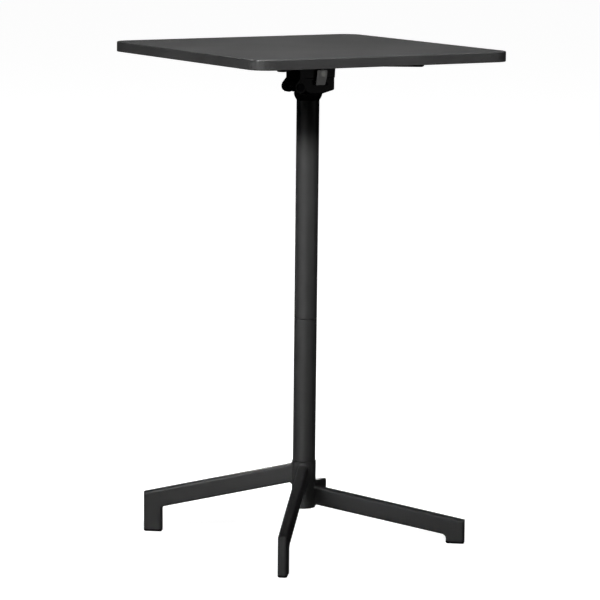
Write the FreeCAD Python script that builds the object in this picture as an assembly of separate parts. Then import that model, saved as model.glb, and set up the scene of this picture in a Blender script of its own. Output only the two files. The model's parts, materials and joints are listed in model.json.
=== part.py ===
import FreeCAD, Part
import math
import os

os.makedirs("parts", exist_ok=True)

# Folding bar table: millimetres, +Z up, origin on the floor under the column.
# +X is the side of the low legs, and the top folds down on the -X side.

# Square top: a sheet tray wrapped round a core board
top_side = 610.0
top_corner_radius = 40.0
top_edge_radius = 2.0
rim_edge_radius = 1.0
skin_wall = 1.5
lip_width = 12.0
core_depth = 18.0

# Arms under the top, on its diagonals
arm_reach = 245.0
arm_width = 21.0
arm_root_depth = 21.5
arm_tip_depth = 17.0
arm_edge_radius = 4.0
arm_tip_radius = 8.0
arm_pocket_width = 11.0
arm_pocket_depth = 2.5
arm_pocket_margin = 16.0
arm_pocket_corner = 4.0
arm_inner_screw_place = 112.0
arm_outer_screw_place = 222.0
screw_radius = 3.0
screw_hole_clearance = 0.3
screw_head_radius = 5.2
screw_head_depth = 3.6
screw_socket_radius = 2.2
screw_socket_depth = 2.0
counterbore_clearance = 0.8
screw_seat_depth = 7.0
screw_grip = 10.0
insert_radius = 5.0
insert_length = 13.0

# Column: two tubes screwed end to end
tube_radius = 24.0
tube_wall = 2.0
tube_foot_chamfer = 1.6
tube_crown_chamfer = 0.4
lower_tube_length = 307.0
upper_tube_length = 463.0
plug_length = 30.0
stud_radius = 8.0
stud_length = 48.0

# Hub and its bolt
hub_radius = 25.5
hub_bottom = 66.5
hub_top = 168.0
hub_edge_radius = 2.0
hub_top_chamfer = 0.7
hub_bore_radius = 18.0
hub_web = 14.0
spigot_length = 50.0
spigot_clearance = 0.1
bolt_radius = 6.0
bolt_hole_clearance = 0.4
bolt_head_radius = 10.9
bolt_head_depth = 7.5
washer_radius = 15.0
washer_depth = 2.5
anchor_length = 22.0

# Legs: box tube arms, mitred to upright feet
leg_width = 20.0
leg_depth = 40.0
leg_wall = 2.0
leg_edge_radius = 6.0
leg_reach = 346.0
high_leg_rise = 146.3
high_knee_height = 86.3
high_knee_radius = 6.0
high_root_flare = 5.5
low_leg_rise = 98.5
low_knee_height = 51.0
low_knee_radius = 10.0
low_root_flare = 4.0
base_turn = 6.0
glide_depth = 5.0
glide_edge_radius = 3.0
glide_plug_depth = 9.0
glide_clearance = 0.2

# Fixed head on the column
collar_rise = 16.0
collar_mid_rise = 6.5
collar_mid_radius = 27.8
collar_radius = 30.3
collar_edge_radius = 2.0
head_rise = 46.0
head_spigot_length = 80.0
head_half_width = 27.0
head_wall = 6.5
head_front = 50.0
head_front_underside = 21.4
head_back_underside = 19.0
head_belly_underside = 13.0
head_belly_front = 16.0
head_belly_back = 12.0
head_corner_radius = 6.0
head_edge_radius = 3.0
pocket_front = 35.5
pocket_back = 15.0
pocket_floor_rise = 19.5
pocket_corner_radius = 5.0
grub_radius = 3.0
grub_length = 10.0
grub_drop = 30.0
grub_angles = (18.0, 98.0)

# Pivot between head and bracket
pivot_back = 36.0
pivot_rise = 29.0
ear_radius = 12.5
knuckle_radius = 10.5
knuckle_half_width = 15.8
ear_side_gap = 0.8
ear_swing_gap = 0.7
axle_radius = 5.0
axle_running_gap = 0.05
axle_head_radius = 8.5
axle_head_depth = 2.6
axle_tail = 3.2
clip_depth = 1.2
clip_radius = 8.0
groove_depth = 0.8
clip_mouth_share = 0.8
bush_wall = 1.2
bush_length = 11.0
bush_flange_radius = 9.0
bush_flange_depth = 0.6
toe_reach = 55.0
toe_depth = 7.0
toe_tip_radius = 6.0
stop_gap = 0.4

# Moving bracket
parting_gap = 0.6
bracket_depth = 45.9
bracket_half_width = 28.0
bracket_wall = 6.0
bracket_roof = 6.0
bracket_back = 37.0
bracket_back_wall = 5.0
bracket_front = 50.2
bracket_front_lean = 2.5
bracket_front_wall = 5.0
bracket_flange_back = 46.0
bracket_flange_depth = 22.0
bracket_flange_slope = 8.0
bracket_corner_radius = 5.0
bracket_edge_radius = 1.0
web_clearance = 4.0
shelf_length = 9.0
shelf_depth = 5.0

# Rubber buffers on the head's front end
buffer_place = 40.0
buffer_spread = 12.0
buffer_radius = 4.2
buffer_rise = 2.4
buffer_stem_radius = 2.2
buffer_stem_length = 8.0

# Lock: a hook on a cross shaft catches the keeper pin
shaft_front = 16.0
shaft_above_parting = 10.0
shaft_radius = 4.0
shaft_running_gap = 0.05
keeper_front = 28.0
keeper_below_parting = 12.0
keeper_radius = 3.5
hook_gap = 0.5
hook_lip = 5.4
hook_width = 12.0
hook_thickness = 10.0
hook_hub_radius = 8.0
hook_arm_angle = 4.0
hook_tip_angle = 31.0
latch_swing = 22.0
hook_pin_radius = 1.5
lever_width = 24.7
lever_front_edge = 9.0
lever_front_curve = 90.0
lever_back_curve = 140.0
lever_thickness = 4.0
lever_above_shaft = 8.0
lever_below_shaft = 23.0
lever_corner_radius = 3.0
lever_washer_depth = 2.6
lever_washer_radius = 9.0
lever_square = 5.6
lever_screw_radius = 1.6
lever_screw_length = 10.0
lever_screw_head_radius = 6.0
lever_screw_head_depth = 1.6
lever_screw_clearance = 0.15
shaft_tail = 2.6
shaft_clip_depth = 1.0
shaft_clip_radius = 6.5

# Heights that follow from the sizes above
tube_bore = tube_radius - tube_wall
seam_height = hub_top + lower_tube_length
seat_height = seam_height + upper_tube_length
parting_height = seat_height + head_rise
pivot_height = seat_height + pivot_rise
bracket_bottom = parting_height + parting_gap
spider_plane = bracket_bottom + bracket_depth
rim_bottom = spider_plane - skin_wall
top_height = spider_plane + core_depth + skin_wall
shaft_height = parting_height + shaft_above_parting
keeper_height = parting_height - keeper_below_parting
pivot_x = -pivot_back
ear_inner = knuckle_half_width + ear_side_gap
socket_radius = tube_bore - spigot_clearance

X = FreeCAD.Vector(1, 0, 0)
Y = FreeCAD.Vector(0, 1, 0)
Z = FreeCAD.Vector(0, 0, 1)
far = 1000.0
near = 0.01
parallel_angle = 2.0


def vec(x, y, z):
    return FreeCAD.Vector(x, y, z)


def block(x0, x1, y0, y1, z0, z1):
    return Part.makeBox(x1 - x0, y1 - y0, z1 - z0, vec(x0, y0, z0))


def post(x, y, radius, z0, z1):
    return Part.makeCylinder(radius, z1 - z0, vec(x, y, z0), Z)


def cross_pin(x, z, radius, y0, y1):
    return Part.makeCylinder(radius, y1 - y0, vec(x, y0, z), Y)


def plate(points, y0, y1):
    corners = [vec(x, y0, z) for x, z in points]
    face = Part.Face(Part.makePolygon(corners + corners[:1]))
    return face.extrude(vec(0, y1 - y0, 0))


def straight_edges(shape, axis):
    along = math.cos(math.radians(parallel_angle))
    found = []
    for edge in shape.Edges:
        if isinstance(edge.Curve, Part.Line) and abs(edge.Curve.Direction.dot(axis)) > along:
            found.append(edge)
    return found


def round_block(x0, x1, y0, y1, z0, z1, axis, radius):
    solid = block(x0, x1, y0, y1, z0, z1)
    return solid.makeFillet(radius, straight_edges(solid, axis))


def rings_at(shape, height, radius):
    found = []
    for edge in shape.Edges:
        if isinstance(edge.Curve, Part.Circle) and abs(edge.Curve.Radius - radius) < near:
            if abs(edge.CenterOfMass.z - height) < near:
                found.append(edge)
    return found


def about_column(shape, angle):
    return shape.rotated(vec(0, 0, 0), Z, angle)


def joined(shapes):
    whole = shapes[0].fuse(shapes[1:])
    return whole.removeSplitter()


def save(name, solids):
    shape = solids if isinstance(solids, Part.Shape) else Part.makeCompound(solids)
    shape.exportStep("parts/" + name + ".step")
    print(name, len(shape.Solids), "solids", round(shape.Volume / 1000.0, 2), "cm3")


# Base hub: bored from below, with a spigot that the lower tube stands over
def make_hub():
    web_bottom = hub_top - hub_web
    body = post(0, 0, hub_radius, hub_bottom, hub_top)
    body = body.makeFillet(hub_edge_radius, rings_at(body, hub_bottom, hub_radius))
    body = body.makeChamfer(hub_top_chamfer, rings_at(body, hub_top, hub_radius))
    body = body.fuse(post(0, 0, socket_radius, hub_top, hub_top + spigot_length))
    body = body.cut(post(0, 0, hub_bore_radius, hub_bottom, web_bottom))
    body = body.cut(post(0, 0, hub_bore_radius, hub_top, hub_top + spigot_length))
    hole = post(0, 0, bolt_radius + bolt_hole_clearance, hub_bottom, hub_top + spigot_length)
    return body.cut(hole).removeSplitter()


def hexagon_head(radius, depth, z0):
    corners = []
    for step in range(7):
        turn = math.radians(60 * step)
        corners.append(vec(radius * math.cos(turn), radius * math.sin(turn), z0))
    return Part.Face(Part.makePolygon(corners)).extrude(vec(0, 0, depth))


def make_hub_bolt():
    washer_bottom = hub_top - hub_web - washer_depth
    anchor_top = hub_top + spigot_length + anchor_length
    head = hexagon_head(bolt_head_radius, bolt_head_depth, washer_bottom - bolt_head_depth)
    return joined([head, post(0, 0, bolt_radius, washer_bottom, anchor_top)])


def make_hub_washer():
    web_bottom = hub_top - hub_web
    disc = post(0, 0, washer_radius, web_bottom - washer_depth, web_bottom)
    return disc.cut(post(0, 0, bolt_radius + bolt_hole_clearance, web_bottom - washer_depth, web_bottom))


def make_column_anchor():
    z0 = hub_top + spigot_length
    disc = post(0, 0, tube_bore, z0, z0 + anchor_length)
    return disc.cut(post(0, 0, bolt_radius, z0, z0 + anchor_length))


# Legs, drawn along +X and then turned into place
def mitre_half(outer, inner, side):
    run = vec(outer[0] - inner[0], 0, outer[1] - inner[1]).normalize()
    high = (outer[0] + far * run.x, outer[1] + far * run.z)
    low = (inner[0] - far * run.x, inner[1] - far * run.z)
    return plate([low, high, (side, high[1]), (side, low[1])], -leg_width, leg_width)


def leg_profile(rise, knee_height, skin):
    drop = rise - knee_height
    slope = math.atan2(drop, leg_reach) + math.asin(leg_depth / 2 / math.hypot(leg_reach, drop))
    fall = math.tan(slope)
    half = (leg_depth / 2 - skin) / math.cos(slope)
    outer = leg_reach - skin
    inner = leg_reach - leg_depth + skin
    return [
        (0, rise + half),
        (outer, rise + half - fall * outer),
        (outer, glide_depth),
        (inner, glide_depth),
        (inner, rise - half - fall * inner),
        (0, rise - half),
    ]


def leg_bar(rise, knee_height, knee_radius, skin):
    points = leg_profile(rise, knee_height, skin)
    half_width = leg_width / 2 - skin
    bar = plate(points, -half_width, half_width)
    knee = vec(points[4][0], 0, points[4][1])
    bend = [edge for edge in straight_edges(bar, Y) if edge.CenterOfMass.distanceToPoint(knee) < near]
    bar = bar.makeFillet(knee_radius + skin, bend)
    sides = []
    for edge in bar.Edges:
        beside = abs(abs(edge.CenterOfMass.y) - half_width) < near
        if beside and edge.BoundBox.XMax > near and edge.BoundBox.ZMax > glide_depth + near:
            sides.append(edge)
    return bar.makeFillet(leg_edge_radius - skin, sides)


def make_leg(rise, knee_height, knee_radius, flare):
    core = post(0, 0, hub_radius, hub_bottom - leg_depth, hub_top + leg_depth)
    core = about_column(core, 180)
    whole = leg_bar(rise, knee_height, knee_radius, 0).fuse(core)
    root = []
    for edge in whole.Edges:
        middle = edge.valueAt((edge.FirstParameter + edge.LastParameter) / 2)
        on_hub = abs(math.hypot(middle.x, middle.y) - hub_radius) < near
        if on_hub and middle.x > 0 and abs(middle.y) < leg_width:
            root.append(edge)
    leg = whole.makeFillet(flare, root).cut(core)
    return leg.cut(leg_bar(rise, knee_height, knee_radius, leg_wall))


def leg_half(leg, rise, knee_height, side):
    points = leg_profile(rise, knee_height, 0)
    return leg.common(mitre_half(points[1], points[4], side))


def upright_bar(skin, z0, z1):
    half_width = leg_width / 2 - skin
    inner_x = leg_reach - leg_depth + skin
    outer_x = leg_reach - skin
    return round_block(inner_x, outer_x, -half_width, half_width, z0, z1, Z, leg_edge_radius - skin)


def make_glide():
    pad = upright_bar(0, 0, glide_depth)
    lower = [edge for edge in pad.Edges if abs(edge.BoundBox.ZMax) < near]
    pad = pad.makeFillet(glide_edge_radius, lower)
    plug = upright_bar(leg_wall + glide_clearance, glide_depth, glide_depth + glide_plug_depth)
    return joined([pad, plug])


# Column tubes and the screwed joint between them
def make_tube(z0, length):
    tube = post(0, 0, tube_radius, z0, z0 + length)
    tube = tube.makeChamfer(tube_foot_chamfer, rings_at(tube, z0, tube_radius))
    tube = tube.makeChamfer(tube_crown_chamfer, rings_at(tube, z0 + length, tube_radius))
    return tube.cut(post(0, 0, tube_bore, z0, z0 + length))


def grub_screw(angle):
    z = seat_height - grub_drop
    start = tube_radius - tube_wall / 2
    screw = Part.makeCylinder(grub_radius, grub_length, vec(start - grub_length, 0, z), X)
    return about_column(screw, angle)


def grub_hole(angle):
    z = seat_height - grub_drop
    start = tube_radius - tube_wall / 2 - grub_length
    return about_column(Part.makeCylinder(grub_radius, tube_radius, vec(start, 0, z), X), angle)


def make_upper_tube():
    tube = make_tube(seam_height, upper_tube_length)
    return tube.cut([grub_hole(angle) for angle in grub_angles])


def joint_block(z0):
    disc = post(0, 0, tube_bore, z0, z0 + plug_length)
    return disc.cut(post(0, 0, stud_radius, z0, z0 + plug_length))


# Fixed head: bell collar, open trough for the hook, knuckle and stop toe for the pivot
def make_collar():
    start = vec(tube_radius, 0, seat_height)
    bend = vec(collar_mid_radius, 0, seat_height + collar_mid_rise)
    end = vec(collar_radius, 0, seat_height + collar_rise)
    bell = Part.Arc(start, bend, end).toShape()
    rest = Part.makePolygon([end, vec(0, 0, end.z), vec(0, 0, seat_height), start])
    collar = Part.Face(Part.Wire([bell] + rest.Edges)).revolve(vec(0, 0, 0), Z, 360)
    return collar.makeFillet(collar_edge_radius, rings_at(collar, end.z, collar_radius))


def make_trough():
    back = pivot_x + ear_radius + ear_swing_gap
    side = [
        (back, parting_height),
        (back, seat_height + head_back_underside),
        (-head_belly_back, seat_height + head_belly_underside),
        (head_belly_front, seat_height + head_belly_underside),
        (head_front, seat_height + head_front_underside),
        (head_front, parting_height),
    ]
    plan = block(back, head_front, -head_half_width, head_half_width, seat_height, parting_height)
    front = [edge for edge in straight_edges(plan, Z) if edge.CenterOfMass.x > 0]
    plan = plan.makeFillet(head_corner_radius, front)
    trough = plate(side, -head_half_width, head_half_width).common(plan)
    lower = []
    for edge in trough.Edges:
        below = edge.BoundBox.ZMax < seat_height + max(head_front_underside, head_back_underside) + near
        if below and (edge.BoundBox.XLength > near or edge.CenterOfMass.x > head_front - near):
            lower.append(edge)
    trough = trough.makeFillet(head_edge_radius, lower)
    return trough.cut(cross_pin(pivot_x, pivot_height, ear_radius + ear_swing_gap, -far, far))


def make_column_head():
    web_front = -pocket_back
    knuckle = cross_pin(pivot_x, pivot_height, knuckle_radius, -knuckle_half_width, knuckle_half_width)
    web = block(pivot_x, web_front, -knuckle_half_width, knuckle_half_width,
                pivot_height - knuckle_radius, pivot_height + knuckle_radius)
    toe_top = pivot_height - (bracket_back - pivot_back) - stop_gap
    toe = block(-toe_reach, pivot_x, -knuckle_half_width, knuckle_half_width, toe_top - toe_depth, toe_top)
    tip = [edge for edge in straight_edges(toe, Y) if edge.CenterOfMass.x < near - toe_reach]
    tip = [edge for edge in tip if edge.CenterOfMass.z < toe_top - near]
    toe = toe.makeFillet(toe_tip_radius, tip)
    spigot = post(0, 0, socket_radius, seat_height - head_spigot_length, seat_height)
    head = joined([make_trough(), make_collar(), knuckle, web, toe, spigot])
    half = head_half_width - head_wall
    pocket = round_block(-pocket_back, pocket_front, -half, half,
                         seat_height + pocket_floor_rise, parting_height, Z, pocket_corner_radius)
    bore = axle_radius + axle_running_gap + bush_wall
    cuts = [pocket, cross_pin(pivot_x, pivot_height, bore, -far, far)]
    cuts.append(cross_pin(keeper_front, keeper_height, keeper_radius, -far, far))
    for side in (-1, 1):
        stem_bottom = parting_height - buffer_stem_length
        cuts.append(post(buffer_place, side * buffer_spread, buffer_stem_radius, stem_bottom, parting_height))
    cuts.extend(grub_hole(angle) for angle in grub_angles)
    return head.cut(cuts).removeSplitter()


def make_buffer(side):
    y = side * buffer_spread
    head = post(buffer_place, y, buffer_radius, parting_height, parting_height + buffer_rise)
    stem = post(buffer_place, y, buffer_stem_radius, parting_height - buffer_stem_length, parting_height)
    return joined([head, stem])


def make_bush(side):
    inner = axle_radius + axle_running_gap
    face = knuckle_half_width
    sleeve = cross_pin(pivot_x, pivot_height, inner + bush_wall, face - bush_length, face)
    flange = cross_pin(pivot_x, pivot_height, bush_flange_radius, face, face + bush_flange_depth)
    bush = joined([sleeve, flange]).cut(cross_pin(pivot_x, pivot_height, inner, 0, far))
    return bush if side > 0 else bush.mirror(vec(0, 0, 0), Y)


def make_axle():
    face = bracket_half_width
    shank = cross_pin(pivot_x, pivot_height, axle_radius, -face, face + axle_tail)
    head = cross_pin(pivot_x, pivot_height, axle_head_radius, -face - axle_head_depth, -face)
    groove = cross_pin(pivot_x, pivot_height, axle_radius, face, face + clip_depth)
    neck = cross_pin(pivot_x, pivot_height, axle_radius - groove_depth, face, face + clip_depth)
    return joined([shank, head]).cut(groove.cut(neck))


def make_clip(x, z, outer, inner, depth):
    face = bracket_half_width
    disc = cross_pin(x, z, outer, face, face + depth)
    half_mouth = inner * clip_mouth_share
    mouth = block(x - half_mouth, x + half_mouth, face, face + depth, z - outer, z)
    return disc.cut([cross_pin(x, z, inner, face, face + depth), mouth])


# Moving bracket: ears on the pivot, hollow housing over the head, roof under the top
def bracket_outline():
    flange_bottom = spider_plane - bracket_flange_depth
    return [
        (-bracket_back, bracket_bottom),
        (-bracket_back, flange_bottom - bracket_flange_slope),
        (-bracket_flange_back, flange_bottom),
        (-bracket_flange_back, spider_plane),
        (bracket_front + bracket_front_lean, spider_plane),
        (bracket_front, bracket_bottom),
    ]


def make_ear_web():
    lean = math.radians(135)
    tangent = (pivot_x + ear_radius * math.cos(lean), pivot_height + ear_radius * math.sin(lean))
    outline = [
        (pivot_x, pivot_height),
        tangent,
        (-bracket_back, bracket_bottom),
        (pivot_x + ear_radius, bracket_bottom),
        (pivot_x + ear_radius, pivot_height),
    ]
    return plate(outline, -bracket_half_width, bracket_half_width)


def make_bracket():
    body = plate(bracket_outline(), -bracket_half_width, bracket_half_width)
    front_edges = []
    for edge in body.Edges:
        inside = min(vertex.Point.x for vertex in edge.Vertexes) > bracket_front - near
        if inside and edge.BoundBox.ZLength > bracket_depth / 2:
            front_edges.append(edge)
    body = body.makeFillet(bracket_corner_radius, front_edges)
    boss = cross_pin(pivot_x, pivot_height, ear_radius, -bracket_half_width, bracket_half_width)
    body = joined([body, boss, make_ear_web()])
    lower = []
    for edge in body.Edges:
        level = abs(edge.BoundBox.ZMin - bracket_bottom) < near and edge.BoundBox.ZLength < near
        if level and edge.BoundBox.XMax > bracket_front - bracket_corner_radius - near:
            lower.append(edge)
    body = body.makeFillet(bracket_edge_radius, lower)
    roof = spider_plane - bracket_roof
    half = bracket_half_width - bracket_wall
    ear_front = pivot_x + ear_radius + ear_swing_gap
    hollow_front = bracket_front - bracket_front_wall
    main_hollow = block(ear_front, hollow_front, -half, half, bracket_bottom, roof)
    back_hollow = block(-bracket_back + bracket_back_wall, ear_front, -ear_inner, ear_inner, 0, roof)
    web_height = pivot_height + knuckle_radius + web_clearance
    knuckle_slot = block(-far, ear_front, -ear_inner, ear_inner, 0, web_height)
    behind_web = block(-far, -bracket_back, -ear_inner, ear_inner, 0, bracket_bottom)
    body = body.cut([main_hollow, back_hollow, knuckle_slot, behind_web])
    shelf_bottom = parting_height + buffer_rise
    shelf = block(hollow_front - shelf_length, hollow_front, -half, half, shelf_bottom, shelf_bottom + shelf_depth)
    body = joined([body, shelf])
    bores = [cross_pin(pivot_x, pivot_height, axle_radius, -far, far)]
    bores.append(cross_pin(shaft_front, shaft_height, shaft_radius + shaft_running_gap, -far, far))
    return body.cut(bores).removeSplitter()


# Arms under the top, drawn along +X
def arm_bottom(place):
    share = place / arm_reach
    return spider_plane - arm_root_depth + share * (arm_root_depth - arm_tip_depth)


def make_arm(angle):
    half = arm_width / 2
    outline = [
        (0, spider_plane),
        (arm_reach, spider_plane),
        (arm_reach, arm_bottom(arm_reach)),
        (0, arm_bottom(0)),
    ]
    arm = plate(outline, -half, half)
    tip = [edge for edge in straight_edges(arm, Z) if edge.CenterOfMass.x > arm_reach - near]
    arm = arm.makeFillet(arm_tip_radius, tip)
    lower = []
    for edge in arm.Edges:
        below = edge.BoundBox.ZMax < spider_plane - near
        if below and edge.CenterOfMass.x > near:
            lower.append(edge)
    arm = arm.makeFillet(arm_edge_radius, lower)
    start = arm_inner_screw_place + arm_pocket_margin
    end = arm_outer_screw_place - arm_pocket_margin
    pocket_outline = [
        (start, 0),
        (end, 0),
        (end, arm_bottom(end) + arm_pocket_depth),
        (start, arm_bottom(start) + arm_pocket_depth),
    ]
    pocket = plate(pocket_outline, -arm_pocket_width / 2, arm_pocket_width / 2)
    arm = arm.cut(pocket.makeFillet(arm_pocket_corner, straight_edges(pocket, Z)))
    seat = spider_plane - screw_seat_depth
    for place in (arm_inner_screw_place, arm_outer_screw_place):
        hole = post(place, 0, screw_radius + screw_hole_clearance, 0, spider_plane)
        counterbore = post(place, 0, screw_head_radius + counterbore_clearance, 0, seat)
        arm = arm.cut([hole, counterbore])
    arm = about_column(arm, angle)
    return arm.cut(block(-far, far, -bracket_half_width, bracket_half_width, 0, 2 * far))


def arm_screw(place, angle):
    seat = spider_plane - screw_seat_depth
    head = post(place, 0, screw_head_radius, seat - screw_head_depth, seat)
    shank = post(place, 0, screw_radius, seat, spider_plane + screw_grip)
    socket = post(place, 0, screw_socket_radius, seat - screw_head_depth, seat - screw_head_depth + screw_socket_depth)
    return about_column(joined([head, shank]).cut(socket), angle)


def insert_plug(place, angle):
    return about_column(post(place, 0, insert_radius, spider_plane, spider_plane + insert_length), angle)


def make_insert(place, angle):
    bore = about_column(post(place, 0, screw_radius, spider_plane, spider_plane + insert_length), angle)
    return insert_plug(place, angle).cut(bore)


# Top: tray with a rolled lip, closed over the core board
def square_slab(skin, z0, z1):
    half = top_side / 2 - skin
    return round_block(-half, half, -half, half, z0, z1, Z, top_corner_radius - skin)


def make_core_blank():
    return square_slab(skin_wall, spider_plane, top_height - skin_wall)


def make_top_skin():
    tray = square_slab(0, rim_bottom, top_height)
    upper = [edge for edge in tray.Edges if edge.BoundBox.ZMin > top_height - near]
    tray = tray.makeFillet(top_edge_radius, upper)
    lower = [edge for edge in tray.Edges if edge.BoundBox.ZMax < rim_bottom + near]
    tray = tray.makeFillet(rim_edge_radius, lower)
    window = square_slab(lip_width, rim_bottom, spider_plane)
    return tray.cut([make_core_blank(), window])


def make_top_core(spots):
    return make_core_blank().cut([insert_plug(place, angle) for place, angle in spots])


# Lock: shaft, hook and side lever, drawn in the released position
def make_shaft():
    lever_face = -bracket_half_width - lever_washer_depth
    tail = bracket_half_width + shaft_tail
    shaft = cross_pin(shaft_front, shaft_height, shaft_radius, lever_face, tail)
    half = lever_square / 2
    square_end = lever_face - lever_thickness + lever_screw_head_depth
    square = block(shaft_front - half, shaft_front + half, square_end, lever_face,
                   shaft_height - half, shaft_height + half)
    face = bracket_half_width
    groove = cross_pin(shaft_front, shaft_height, shaft_radius, face, face + shaft_clip_depth)
    neck = cross_pin(shaft_front, shaft_height, shaft_radius - groove_depth, face, face + shaft_clip_depth)
    thread = cross_pin(shaft_front, shaft_height, lever_screw_radius, square_end, square_end + lever_screw_length)
    return joined([shaft, square]).cut([groove.cut(neck), thread, make_hook_pin()])


def make_hook_pin():
    length = 2 * hook_hub_radius
    return Part.makeCylinder(hook_pin_radius, length, vec(shaft_front - hook_hub_radius, 0, shaft_height), X)


def polar(radius, angle):
    turn = math.radians(angle)
    return shaft_front + radius * math.sin(turn), shaft_height - radius * math.cos(turn)


def make_hook():
    reach = math.hypot(keeper_front - shaft_front, shaft_height - keeper_height)
    inner = reach + keeper_radius + hook_gap
    outer = inner + hook_lip
    half = hook_thickness / 2
    hub = cross_pin(shaft_front, shaft_height, hook_hub_radius, -half, half)
    disc = cross_pin(shaft_front, shaft_height, outer, -half, half)
    bar = block(shaft_front - hook_width / 2, shaft_front + hook_width / 2, -half, half,
                shaft_height - outer, shaft_height)
    bar = bar.rotated(vec(shaft_front, 0, shaft_height), Y, -hook_arm_angle)
    wedge = plate([polar(0, 0), polar(2 * outer, hook_arm_angle), polar(2 * outer, hook_tip_angle)], -half, half)
    ring = disc.cut(cross_pin(shaft_front, shaft_height, inner, -half, half))
    hook = joined([hub, bar.common(disc), ring.common(wedge)])
    hook = hook.cut(cross_pin(shaft_front, shaft_height, shaft_radius, -half, half))
    hook = hook.rotated(vec(shaft_front, 0, shaft_height), Y, latch_swing)
    return hook.cut(make_hook_pin())


def make_lever():
    back = -bracket_half_width - lever_washer_depth
    front = back - lever_thickness
    edge = shaft_front + lever_front_edge
    top = shaft_height + lever_above_shaft
    lever = block(edge - 2 * lever_width, edge + lever_width, front, back, shaft_height - lever_below_shaft, top)
    lever = lever.common(cross_pin(edge - lever_front_curve, top, lever_front_curve, front, back))
    lever = lever.cut(cross_pin(edge - lever_width - lever_back_curve, top, lever_back_curve, front, back))
    lever = lever.makeFillet(lever_corner_radius, straight_edges(lever, Y))
    half = lever_square / 2
    hole = block(shaft_front - half, shaft_front + half, front, back, shaft_height - half, shaft_height + half)
    sink = cross_pin(shaft_front, shaft_height, lever_screw_head_radius + lever_screw_clearance,
                     front, front + lever_screw_head_depth)
    return lever.cut([hole, sink])


def make_lever_washer():
    face = -bracket_half_width
    disc = cross_pin(shaft_front, shaft_height, lever_washer_radius, face - lever_washer_depth, face)
    return disc.cut(cross_pin(shaft_front, shaft_height, shaft_radius, face - lever_washer_depth, face))


def make_lever_screw():
    face = -bracket_half_width - lever_washer_depth - lever_thickness
    seat = face + lever_screw_head_depth
    head = cross_pin(shaft_front, shaft_height, lever_screw_head_radius, face, seat)
    shank = cross_pin(shaft_front, shaft_height, lever_screw_radius, seat, seat + lever_screw_length)
    return joined([head, shank])


# Base
leg_angles = {"left": 135.0, "front": 225.0, "right": -45.0, "rear": 45.0}
high_leg = (high_leg_rise, high_knee_height, high_knee_radius, high_root_flare)
low_leg = (low_leg_rise, low_knee_height, low_knee_radius, low_root_flare)
legs = {"left": high_leg, "front": high_leg, "right": low_leg, "rear": low_leg}
save("base_hub", make_hub())
save("hub_bolt", make_hub_bolt())
save("hub_washer", make_hub_washer())
save("column_anchor", make_column_anchor())
for name, angle in leg_angles.items():
    rise, knee_height, knee_radius, flare = legs[name]
    leg = make_leg(rise, knee_height, knee_radius, flare)
    save("leg_arm_" + name, about_column(leg_half(leg, rise, knee_height, -far), angle + base_turn))
    save("foot_post_" + name, about_column(leg_half(leg, rise, knee_height, far), angle + base_turn))
    save("foot_glide_" + name, about_column(make_glide(), angle + base_turn))

# Column
save("lower_tube", make_tube(hub_top, lower_tube_length))
save("upper_tube", make_upper_tube())
save("joint_socket", joint_block(seam_height - plug_length))
save("joint_plug", joint_block(seam_height))
save("joint_stud", post(0, 0, stud_radius, seam_height - stud_length / 2, seam_height + stud_length / 2))

# Head and pivot
save("column_head", make_column_head())
save("head_screws", [grub_screw(angle) for angle in grub_angles])
save("stop_buffers", [make_buffer(side) for side in (-1, 1)])
save("keeper_pin", cross_pin(keeper_front, keeper_height, keeper_radius, -head_half_width, head_half_width))
save("pivot_bushes", [make_bush(side) for side in (-1, 1)])
save("pivot_axle", make_axle())
save("axle_clip", make_clip(pivot_x, pivot_height, clip_radius, axle_radius - groove_depth, clip_depth))
save("tilt_bracket", make_bracket())

# Top
screw_spots = []
for name, angle in leg_angles.items():
    save("spider_arm_" + name, make_arm(angle))
    for place in (arm_inner_screw_place, arm_outer_screw_place):
        screw_spots.append((place, angle))
save("arm_screws", [arm_screw(place, angle) for place, angle in screw_spots])
save("top_inserts", [make_insert(place, angle) for place, angle in screw_spots])
save("top_core", make_top_core(screw_spots))
save("top_skin", make_top_skin())

# Lock
save("latch_shaft", make_shaft())
save("hook_pin", make_hook_pin())
save("latch_hook", make_hook())
save("lock_lever", make_lever())
save("lever_washer", make_lever_washer())
save("lever_screw", make_lever_screw())
save("shaft_clip", make_clip(shaft_front, shaft_height, shaft_clip_radius, shaft_radius - groove_depth,
                             shaft_clip_depth))
print("top height", top_height)
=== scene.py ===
import bpy
import json
import math
from mathutils import Matrix, Vector


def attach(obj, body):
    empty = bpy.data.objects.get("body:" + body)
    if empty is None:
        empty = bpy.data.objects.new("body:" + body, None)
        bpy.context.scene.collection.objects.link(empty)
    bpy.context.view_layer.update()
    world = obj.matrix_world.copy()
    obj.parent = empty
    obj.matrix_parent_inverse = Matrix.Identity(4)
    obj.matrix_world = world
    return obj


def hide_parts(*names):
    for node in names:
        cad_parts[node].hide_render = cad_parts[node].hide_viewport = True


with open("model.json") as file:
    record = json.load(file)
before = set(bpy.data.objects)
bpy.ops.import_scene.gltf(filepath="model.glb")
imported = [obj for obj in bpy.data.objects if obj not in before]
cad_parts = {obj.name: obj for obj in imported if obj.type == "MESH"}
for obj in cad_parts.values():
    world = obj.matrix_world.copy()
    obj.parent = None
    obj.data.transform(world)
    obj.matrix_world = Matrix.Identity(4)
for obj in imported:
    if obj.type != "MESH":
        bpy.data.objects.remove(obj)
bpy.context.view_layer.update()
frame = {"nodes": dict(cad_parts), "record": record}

mm = 0.001
waveTurn = 20  # a wave texture turns by this many radians per unit of its scale
bumpStrength = 0.4


# sRGB hex value to linear colour
def hexColour(text):
    channels = [int(text[i:i + 2], 16) / 255 for i in (1, 3, 5)]
    linear = [c / 12.92 if c <= 0.04045 else ((c + 0.055) / 1.055) ** 2.4 for c in channels]
    return (*linear, 1.0)


def perMetre(millimetres):
    return 1 / (millimetres * mm)


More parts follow.
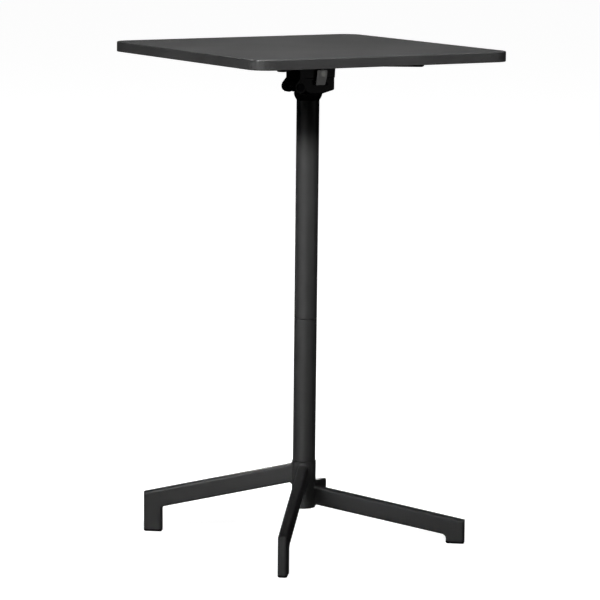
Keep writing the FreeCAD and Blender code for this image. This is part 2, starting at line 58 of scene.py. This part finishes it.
def wavesPerMetre(millimetres):
    return perMetre(millimetres) * math.tau / waveTurn


# inputs are fixed values, links are sockets (or lists of sockets) joined to this node
def addNode(tree, kind, settings=None, inputs=None, links=None):
    node = tree.nodes.new(kind)
    for key, value in (settings or {}).items():
        setattr(node, key, value)
    for key, value in (inputs or {}).items():
        node.inputs[key].default_value = value
    for key, sockets in (links or {}).items():
        for socket in sockets if isinstance(sockets, list) else [sockets]:
            tree.links.new(socket, node.inputs[key])
    return node


def startFinish(name, shader):
    material = bpy.data.materials.new(name)
    material.use_nodes = True
    tree = material.node_tree
    for key, value in shader.items():
        tree.nodes["Principled BSDF"].inputs[key].default_value = value
    return material, tree, addNode(tree, "ShaderNodeTexCoord").outputs["Object"]


# Colour and gloss each follow a pattern as (pattern, low, high), and relief as (pattern, depth in mm)
# inputs 6 and 7 of the mix node are its two colours, and output 2 is the mixed one
def dressFinish(tree, colour, gloss, relief):
    bsdf = tree.nodes["Principled BSDF"]
    tint = addNode(tree, "ShaderNodeMix", {"data_type": "RGBA"},
                   {6: hexColour(colour[1]), 7: hexColour(colour[2])}, {"Factor": colour[0]})
    sheen = addNode(tree, "ShaderNodeMapRange", None, {"To Min": gloss[1], "To Max": gloss[2]},
                    {"Value": gloss[0]})
    bump = addNode(tree, "ShaderNodeBump", None, {"Strength": bumpStrength, "Distance": relief[1] * mm},
                   {"Height": relief[0]})
    tree.links.new(tint.outputs[2], bsdf.inputs["Base Color"])
    tree.links.new(sheen.outputs["Result"], bsdf.inputs["Roughness"])
    tree.links.new(bump.outputs["Normal"], bsdf.inputs["Normal"])


# Fine-texture polyester powder coat, sprayed on and baked: an even dry sheen without a sharp reflection,
# faint clouds where the coat flowed a little thicker, and pebbles that break up the highlights
powderCoats = {
    "powderCoatTop": {
        "low": "#282828", "high": "#343434", "gloss": (0.44, 0.54), "cloud": 110, "relief": 0.05},
    "powderCoatFrame": {
        "low": "#2b2b2b", "high": "#303030", "gloss": (0.44, 0.52), "cloud": 60, "relief": 0.05},
    # near black, darker than the frame's coat: painted shade for the head and bracket in the top's shadow
    "powderCoatCastingPaintedShade": {
        "low": "#0b0b0c", "high": "#101011", "gloss": (0.42, 0.52), "cloud": 30, "relief": 0.09},
}
# the same on all three; the real pebble is about 0.3 mm and is drawn at 1 mm so that it shows
coatGrain = {"ior": 1.5, "pebble": 1.0, "flow": 6, "flowShare": 2.0, "cloudRange": (0.3, 0.7)}


def powderCoat(name):
    look = powderCoats[name]
    material, tree, place = startFinish(name, {"IOR": coatGrain["ior"]})
    cloud = addNode(tree, "ShaderNodeTexNoise", None, {"Scale": perMetre(look["cloud"]), "Detail": 3.0},
                    {"Vector": place})
    pebble = addNode(tree, "ShaderNodeTexNoise", None,
                     {"Scale": perMetre(coatGrain["pebble"]), "Detail": 1.0}, {"Vector": place})
    flow = addNode(tree, "ShaderNodeTexNoise", None,
                   {"Scale": perMetre(coatGrain["flow"]), "Detail": 0.0}, {"Vector": place})
    skin = addNode(tree, "ShaderNodeMath", {"operation": "MULTIPLY_ADD"}, {1: coatGrain["flowShare"]},
                   {0: flow.outputs["Fac"], 2: pebble.outputs["Fac"]})
    thin, thick = coatGrain["cloudRange"]
    spread = addNode(tree, "ShaderNodeMapRange", None, {"From Min": thin, "From Max": thick},
                     {"Value": cloud.outputs["Fac"]})
    dressFinish(tree, (spread.outputs["Result"], look["low"], look["high"]),
                (pebble.outputs["Fac"], *look["gloss"]), (skin.outputs["Value"], look["relief"]))
    return material


# Bright zinc electroplate with a clear passivation film: grey metal with tiny crystals,
# bluish in some patches and straw-coloured in others
zincPlateLook = {
    "blue": "#9fa4a9", "straw": "#b4b0a2", "patch": 5, "crystal": 0.8, "gloss": (0.26, 0.42), "relief": 0.01}


def zincPlate():
    look = zincPlateLook
    material, tree, place = startFinish("zincElectroplate", {"Metallic": 1.0})
    patch = addNode(tree, "ShaderNodeTexNoise", None, {"Scale": perMetre(look["patch"])}, {"Vector": place})
    crystal = addNode(tree, "ShaderNodeTexVoronoi", None, {"Scale": perMetre(look["crystal"])},
                      {"Vector": place})
    dressFinish(tree, (patch.outputs["Fac"], look["blue"], look["straw"]),
                (crystal.outputs["Distance"], *look["gloss"]), (crystal.outputs["Distance"], look["relief"]))
    return material


# Lever of pressed steel, belt-brushed down its length and zinc plated: a satin grey that stretches
# reflections along the grain; the real grain is about 0.1 mm wide and is drawn at 0.5 mm so that it shows
brushedLeverLook = {
    "dark": "#9c9c9b", "light": "#bdbdbb", "grain": (0.5, 0.5, 20), "gloss": (0.36, 0.5), "relief": 0.02}


def brushedZinc():
    look = brushedLeverLook
    material, tree, place = startFinish("brushedZincPlatedSteel", {"Metallic": 1.0})
    stretch = addNode(tree, "ShaderNodeMapping", None, {"Scale": [perMetre(side) for side in look["grain"]]},
                      {"Vector": place})
    grain = addNode(tree, "ShaderNodeTexNoise", None, {"Scale": 1.0, "Detail": 2.0},
                    {"Vector": stretch.outputs[0]})
    dressFinish(tree, (grain.outputs["Fac"], look["dark"], look["light"]),
                (grain.outputs["Fac"], *look["gloss"]), (grain.outputs["Fac"], look["relief"]))
    return material


# Steel blackened in a hot oxide bath and oiled: near black, with a soft metal sheen where the oil is thicker
blackOxideLook = {
    "dark": "#141415", "light": "#232325", "oil": 3, "grain": 0.6, "gloss": (0.36, 0.52), "relief": 0.01}


def blackOxide():
    look = blackOxideLook
    material, tree, place = startFinish("blackOxideSteel", {"Metallic": 1.0})
    oil = addNode(tree, "ShaderNodeTexNoise", None, {"Scale": perMetre(look["oil"])}, {"Vector": place})
    grain = addNode(tree, "ShaderNodeTexNoise", None, {"Scale": perMetre(look["grain"])}, {"Vector": place})
    dressFinish(tree, (oil.outputs["Fac"], look["dark"], look["light"]),
                (oil.outputs["Fac"], *look["gloss"]), (grain.outputs["Fac"], look["relief"]))
    return material


# Medium-density fibreboard sealed with a rolled dark grey primer: dull, with paler fibre flecks
# and the faint parallel tracks of the roller
fibreboardLook = {
    "primer": "#33312e", "fleck": "#4a4743", "fleckSize": (6, 1.2, 1.2), "fleckRange": (0.52, 0.72),
    "trackSize": (400, 14, 14), "gloss": (0.6, 0.72), "ior": 1.5, "relief": 0.05}


def sealedFibreboard():
    look = fibreboardLook
    material, tree, place = startFinish("primedFibreboard", {"IOR": look["ior"]})
    stretch = addNode(tree, "ShaderNodeMapping", None,
                      {"Scale": [perMetre(side) for side in look["fleckSize"]]}, {"Vector": place})
    fleck = addNode(tree, "ShaderNodeTexNoise", None, {"Scale": 1.0, "Detail": 3.0},
                    {"Vector": stretch.outputs[0]})
    pull = addNode(tree, "ShaderNodeMapping", None,
                   {"Scale": [perMetre(side) for side in look["trackSize"]]}, {"Vector": place})
    track = addNode(tree, "ShaderNodeTexNoise", None, {"Scale": 1.0, "Detail": 1.0},
                    {"Vector": pull.outputs[0]})
    bare, full = look["fleckRange"]
    pale = addNode(tree, "ShaderNodeMapRange", None, {"From Min": bare, "From Max": full},
                   {"Value": fleck.outputs["Fac"]})
    dressFinish(tree, (pale.outputs["Result"], look["primer"], look["fleck"]),
                (track.outputs["Fac"], *look["gloss"]), (fleck.outputs["Fac"], look["relief"]))
    return material


# Threaded inserts of turned brass: warm yellow metal with fine lathe rings round the axis
turnedBrassLook = {
    "dark": "#b08a3e", "light": "#cfa958", "patch": 4, "ring": 0.6, "gloss": (0.24, 0.36), "relief": 0.02}


def turnedBrass():
    look = turnedBrassLook
    material, tree, place = startFinish("turnedBrass", {"Metallic": 1.0})
    ring = addNode(tree, "ShaderNodeTexWave", {"bands_direction": "Z"},
                   {"Scale": wavesPerMetre(look["ring"])}, {"Vector": place})
    patch = addNode(tree, "ShaderNodeTexNoise", None, {"Scale": perMetre(look["patch"])}, {"Vector": place})
    dressFinish(tree, (patch.outputs["Fac"], look["dark"], look["light"]),
                (ring.outputs["Fac"], *look["gloss"]), (ring.outputs["Fac"], look["relief"]))
    return material


# Moulded plastics and rubber, with the spark-eroded grain of the mould on them:
# rubber dusty and dull, nylon creamy and waxy, polyethylene black with a slight sheen
mouldings = {
    "mouldedNitrileRubber": {
        "low": "#101010", "high": "#1d1c1b", "patch": 4, "grain": 0.5, "gloss": (0.68, 0.85), "shine": 0.3},
    "mouldedNylon": {
        "low": "#c9c5b6", "high": "#dedbce", "patch": 6, "grain": 0.5, "gloss": (0.36, 0.5), "shine": 0.5},
    "mouldedPolyethylene": {
        "low": "#0b0b0b", "high": "#131313", "patch": 8, "grain": 0.7, "gloss": (0.6, 0.75), "shine": 0.1},
}
mouldGrain = {"ior": 1.52, "relief": 0.04}


def moulding(name):
    look = mouldings[name]
    material, tree, place = startFinish(name, {"IOR": mouldGrain["ior"], "Specular IOR Level": look["shine"]})
    patch = addNode(tree, "ShaderNodeTexNoise", None, {"Scale": perMetre(look["patch"])}, {"Vector": place})
    grain = addNode(tree, "ShaderNodeTexNoise", None, {"Scale": perMetre(look["grain"])}, {"Vector": place})
    dressFinish(tree, (patch.outputs["Fac"], look["low"], look["high"]),
                (grain.outputs["Fac"], *look["gloss"]), (grain.outputs["Fac"], mouldGrain["relief"]))
    return material


finishes = {
    "top_paint": powderCoat("powderCoatTop"),
    "frame_paint": powderCoat("powderCoatFrame"),
    "cast_paint": powderCoat("powderCoatCastingPaintedShade"),
    "plated_steel": zincPlate(),
    "black_steel": blackOxide(),
    "lever_steel": brushedZinc(),
    "core_board": sealedFibreboard(),
    "brass_insert": turnedBrass(),
    "buffer_rubber": moulding("mouldedNitrileRubber"),
    "bush_nylon": moulding("mouldedNylon"),
    "glide_plastic": moulding("mouldedPolyethylene"),
}
slots = {row["node"]: row["material_slot"] for row in frame["record"]["subparts"]}
for nodeName, nodeObject in frame["nodes"].items():
    nodeObject.data.materials.clear()
    nodeObject.data.materials.append(finishes[slots[nodeName]])
print("finishes set on", len(slots), "nodes")

# Hexagon-socket screws: eight through the arms into the top, and two grub screws that hold the head
# sizes in mm; reach is how far the middle of the socket's face lies from the column's axis, seat its height
screwSets = {
    "armScrews": {
        "body": "top", "node": "arm_screws", "angles": (135, 225, -45, 45), "reach": (112, 222),
        "seat": 1019.9, "upright": True,
        "sizes": {"Head Radius": 5.2, "Head Depth": 3.6, "Bevel": 0.5, "Socket Radius": 2.3,
                  "Socket Depth": 2.0, "Shank Radius": 3.0, "Shank Length": 17.0},
    },
    "headScrews": {
        "body": "base", "node": "head_screws", "angles": (18, 98), "reach": (23,),
        "seat": 908.0, "upright": False,
        "sizes": {"Head Radius": 3.0, "Head Depth": 8.5, "Bevel": 0.4, "Socket Radius": 1.73,
                  "Socket Depth": 3.0, "Shank Radius": 2.0, "Shank Length": 1.5},
    },
}
# the same on both sets: weld in mm, crease and stopRange in degrees
screwDetail = {"rimSteps": 32, "socketSides": 6, "weld": 0.01, "crease": 25, "stopRange": 60, "seed": 7}


def screwTree():
    tree = bpy.data.node_groups.new("hexSocketScrews", "GeometryNodeTree")
    tree.interface.new_socket("Places", in_out="INPUT", socket_type="NodeSocketGeometry")
    for label in screwSets["armScrews"]["sizes"]:
        tree.interface.new_socket(label, in_out="INPUT", socket_type="NodeSocketFloat")
    tree.interface.new_socket("Finish", in_out="INPUT", socket_type="NodeSocketMaterial")
    tree.interface.new_socket("Screws", in_out="OUTPUT", socket_type="NodeSocketGeometry")
    size = addNode(tree, "NodeGroupInput").outputs
    faceRadius = addNode(tree, "ShaderNodeMath", {"operation": "SUBTRACT"}, None,
                         {0: size["Head Radius"], 1: size["Bevel"]}).outputs[0]
    flank = addNode(tree, "ShaderNodeMath", {"operation": "SUBTRACT"}, None,
                    {0: size["Head Depth"], 1: size["Bevel"]}).outputs[0]
    widen = addNode(tree, "ShaderNodeMath", {"operation": "DIVIDE"}, None,
                    {0: size["Head Radius"], 1: faceRadius}).outputs[0]
    narrow = addNode(tree, "ShaderNodeMath", {"operation": "DIVIDE"}, None,
                     {0: size["Shank Radius"], 1: size["Head Radius"]}).outputs[0]
    # the socket's cutter is centred on the face, so half of its length goes in
    twice = addNode(tree, "ShaderNodeMath", {"operation": "MULTIPLY"}, {1: 2.0},
                    {0: size["Socket Depth"]}).outputs[0]
    # the head grows from its socket face: bevel, flank, underside, then the shank
    disc = addNode(tree, "GeometryNodeMeshCircle", {"fill_type": "NGON"},
                   {"Vertices": screwDetail["rimSteps"]}, {"Radius": faceRadius})
    bevel = addNode(tree, "GeometryNodeExtrudeMesh", None, None,
                    {"Mesh": disc.outputs[0], "Offset Scale": size["Bevel"]})
    wide = addNode(tree, "GeometryNodeScaleElements", None, None,
                   {"Geometry": bevel.outputs["Mesh"], "Selection": bevel.outputs["Top"], "Scale": widen})
    head = addNode(tree, "GeometryNodeExtrudeMesh", None, None,
                   {"Mesh": wide.outputs[0], "Selection": bevel.outputs["Top"], "Offset Scale": flank})
    under = addNode(tree, "GeometryNodeExtrudeMesh", None, {"Offset Scale": 0.0},
                    {"Mesh": head.outputs["Mesh"], "Selection": head.outputs["Top"]})
    slim = addNode(tree, "GeometryNodeScaleElements", None, None,
                   {"Geometry": under.outputs["Mesh"], "Selection": under.outputs["Top"], "Scale": narrow})
    shank = addNode(tree, "GeometryNodeExtrudeMesh", None, None,
                    {"Mesh": slim.outputs[0], "Selection": under.outputs["Top"],
                     "Offset Scale": size["Shank Length"]})
    cap = addNode(tree, "GeometryNodeFlipFaces", None, None, {"Mesh": disc.outputs[0]})
    shell = addNode(tree, "GeometryNodeJoinGeometry", None, None,
                    {"Geometry": [shank.outputs["Mesh"], cap.outputs[0]]})
    blank = addNode(tree, "GeometryNodeMergeByDistance", None, {"Distance": screwDetail["weld"] * mm},
                    {"Geometry": shell.outputs[0]})
    key = addNode(tree, "GeometryNodeMeshCylinder", None, {"Vertices": screwDetail["socketSides"]},
                  {"Radius": size["Socket Radius"], "Depth": twice})
    screw = addNode(tree, "GeometryNodeMeshBoolean", {"operation": "DIFFERENCE"}, None,
                    {"Mesh 1": blank.outputs[0], "Mesh 2": key.outputs["Mesh"]})
    smooth = addNode(tree, "GeometryNodeSetShadeSmooth", None, None, {"Geometry": screw.outputs["Mesh"]})
    fold = addNode(tree, "GeometryNodeInputMeshEdgeAngle")
    crease = addNode(tree, "FunctionNodeCompare", {"operation": "GREATER_THAN"},
                     {1: math.radians(screwDetail["crease"])}, {0: fold.outputs["Unsigned Angle"]})
    edged = addNode(tree, "GeometryNodeSetShadeSmooth", {"domain": "EDGE"}, {"Shade Smooth": False},
                    {"Geometry": smooth.outputs[0], "Selection": crease.outputs[0]})
    # each screw stopped at its own turn when it was tightened; input 3 is the largest turn
    way = addNode(tree, "GeometryNodeInputNamedAttribute", {"data_type": "FLOAT_VECTOR"},
                  {"Name": "shankWay"})
    aim = addNode(tree, "FunctionNodeAlignRotationToVector", {"axis": "Z"}, None,
                  {"Vector": way.outputs["Attribute"]})
    stop = addNode(tree, "FunctionNodeRandomValue", {"data_type": "FLOAT"},
                   {3: math.radians(screwDetail["stopRange"]), "Seed": screwDetail["seed"]})
    turn = addNode(tree, "FunctionNodeAxisAngleToRotation", None, {"Axis": (0, 0, 1)},
                   {"Angle": stop.outputs[1]})
    pose = addNode(tree, "FunctionNodeRotateRotation", {"rotation_space": "LOCAL"}, None,
                   {"Rotation": aim.outputs[0], "Rotate By": turn.outputs[0]})
    copies = addNode(tree, "GeometryNodeInstanceOnPoints", None, None,
                     {"Points": size["Places"], "Instance": edged.outputs[0], "Rotation": pose.outputs[0]})
    real = addNode(tree, "GeometryNodeRealizeInstances", None, None, {"Geometry": copies.outputs[0]})
    dressed = addNode(tree, "GeometryNodeSetMaterial", None, None,
                      {"Geometry": real.outputs[0], "Material": size["Finish"]})
    addNode(tree, "NodeGroupOutput", None, None, {"Screws": dressed.outputs[0]})
    return tree


def placeScrews(name, tree):
    look = screwSets[name]
    places, ways = [], []
    for angle in look["angles"]:
        across = Vector((math.cos(math.radians(angle)), math.sin(math.radians(angle)), 0))
        for reach in look["reach"]:
            places.append((across * reach + Vector((0, 0, look["seat"]))) * mm)
            ways.append(Vector((0, 0, 1)) if look["upright"] else -across)
    spots = bpy.data.meshes.new(name + "Places")
    spots.from_pydata(places, [], [])
    shankWay = spots.attributes.new("shankWay", "FLOAT_VECTOR", "POINT")
    shankWay.data.foreach_set("vector", [value for way in ways for value in way])
    piece = bpy.data.objects.new(name, spots)
    bpy.context.scene.collection.objects.link(piece)
    modifier = piece.modifiers.new("screws", "NODES")
    modifier.node_group = tree
    for item in tree.interface.items_tree:
        if item.in_out == "INPUT" and item.name in look["sizes"]:
            modifier[item.identifier] = look["sizes"][item.name] * mm
        if item.in_out == "INPUT" and item.name == "Finish":
            modifier[item.identifier] = finishes[slots[look["node"]]]
    evaluated = piece.evaluated_get(bpy.context.evaluated_depsgraph_get())
    mesh = bpy.data.meshes.new_from_object(evaluated)
    piece.modifiers.clear()
    piece.data = mesh
    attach(piece, look["body"])
    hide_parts(look["node"])
    print(name, "made:", len(places), "screws,", len(mesh.polygons), "faces")


socketScrews = screwTree()
for setName in screwSets:
    placeScrews(setName, socketScrews)

# Camera where the photograph was taken from: place and farLimit in metres, lens and sensor in mm
viewpoint = {
    "place": (-3.0339, -4.8392, 1.4459), "yaw": 31.963, "pitch": 9.268, "roll": 0.627,
    "lens": 164.23, "sensor": 36, "farLimit": 200}


def placeCamera():
    camera = bpy.data.cameras.new("camera")
    camera.lens = viewpoint["lens"]
    camera.sensor_width = viewpoint["sensor"]
    camera.clip_end = viewpoint["farLimit"]
    rig = bpy.data.objects.new("camera", camera)
    yaw = Matrix.Rotation(math.radians(-viewpoint["yaw"]), 4, "Z")
    tip = Matrix.Rotation(math.radians(90 - viewpoint["pitch"]), 4, "X")  # untipped, a camera looks down
    roll = Matrix.Rotation(math.radians(viewpoint["roll"]), 4, "Z")
    rig.matrix_world = Matrix.Translation(viewpoint["place"]) @ yaw @ tip @ roll
    bpy.context.scene.collection.objects.link(rig)
    bpy.context.scene.camera = rig


placeCamera()

# Studio: pale glowing floor, a narrow key light and a soft one left of the camera, a weaker lamp on the
# right, two lamps for the legs, one overhead, a dim card for the lever, and a low lamp behind
# turn is the angle round from +X, lift the angle above level, spread the width of the beam, sizes in metres
studio = {
    "floorRadius": 40.0, "wallHeight": 40.0, "floorSteps": 96,
    "floorGlow": 0.97, "floorColour": "#a0a0a0", "floorRoughness": 0.9, "surround": "#050505",
    "lights": {
        "key": {
            "turn": 200, "lift": 29, "aim": 1.0, "distance": 4.5, "size": 0.6, "power": 5.1, "spread": 24},
        "soft": {
            "turn": 208, "lift": 28, "aim": 0.8, "distance": 4.5, "size": 1.0, "power": 44, "spread": 180},
        "side": {
            "turn": 287, "lift": 30, "aim": 1.0, "distance": 4.0, "size": 0.6, "power": 2.8, "spread": 30},
        "legsLeft": {
            "turn": 175, "lift": 20, "aim": 0.1, "distance": 4.0, "size": 0.6, "power": 0.65, "spread": 24},
        "legsFront": {
            "turn": 217, "lift": 4, "aim": 0.1, "distance": 4.0, "size": 0.6, "power": 0.58, "spread": 24},
        "overhead": {
            "turn": 58, "lift": 88, "aim": 0.8, "distance": 6.0, "size": 0.8, "power": 455, "spread": 180},
        "back": {
            "turn": 62, "lift": 0, "aim": 0.12, "distance": 4.5, "size": 0.24, "power": 3.0, "spread": 40},
        "card": {
            "turn": 302, "lift": 1, "aim": 0.8, "distance": 3.5, "size": 1.0, "power": 2.0, "spread": 180},
    },
}


# a round floor with a wall far off, so that level views have a pale background too
def makeFloor():
    radius, steps = studio["floorRadius"], studio["floorSteps"]
    turns = [2 * math.pi * i / steps for i in range(steps)]
    rim = [(radius * math.cos(turn), radius * math.sin(turn)) for turn in turns]
    corners = [(x, y, z) for z in (0, studio["wallHeight"]) for x, y in rim]
    walls = [(i, i + steps, (i + 1) % steps + steps, (i + 1) % steps) for i in range(steps)]
    mesh = bpy.data.meshes.new("floor")
    mesh.from_pydata(corners, [], [tuple(range(steps))] + walls)
    floor = bpy.data.objects.new("floor", mesh)
    bpy.context.scene.collection.objects.link(floor)
    material = startFinish("paleFloor", {
        "Base Color": hexColour(studio["floorColour"]), "Roughness": studio["floorRoughness"],
        "Specular IOR Level": 0.0, "Emission Color": (1, 1, 1, 1),
        "Emission Strength": studio["floorGlow"]})[0]
    mesh.materials.append(material)
    floor.visible_diffuse = False
    floor.visible_glossy = False


def makeLight(name):
    look = studio["lights"][name]
    turn, lift = math.radians(look["turn"]), math.radians(look["lift"])
    towards = Vector((math.cos(turn) * math.cos(lift), math.sin(turn) * math.cos(lift), math.sin(lift)))
    light = bpy.data.lights.new(name + "Light", "AREA")
    light.size = look["size"]
    light.energy = look["power"]
    light.spread = math.radians(look["spread"])
    lamp = bpy.data.objects.new(name + "Light", light)
    place = Vector((0, 0, look["aim"])) + towards * look["distance"]
    lamp.matrix_world = Matrix.Translation(place) @ towards.to_track_quat("Z", "Y").to_matrix().to_4x4()
    lamp.visible_camera = False
    bpy.context.scene.collection.objects.link(lamp)


def makeSurround():
    world = bpy.data.worlds.new("surround")
    world.use_nodes = True
    world.node_tree.nodes["Background"].inputs["Color"].default_value = hexColour(studio["surround"])
    bpy.context.scene.world = world


makeFloor()
for lightName in studio["lights"]:
    makeLight(lightName)
makeSurround()
bpy.context.scene.view_settings.view_transform = "Standard"
print("studio ready")
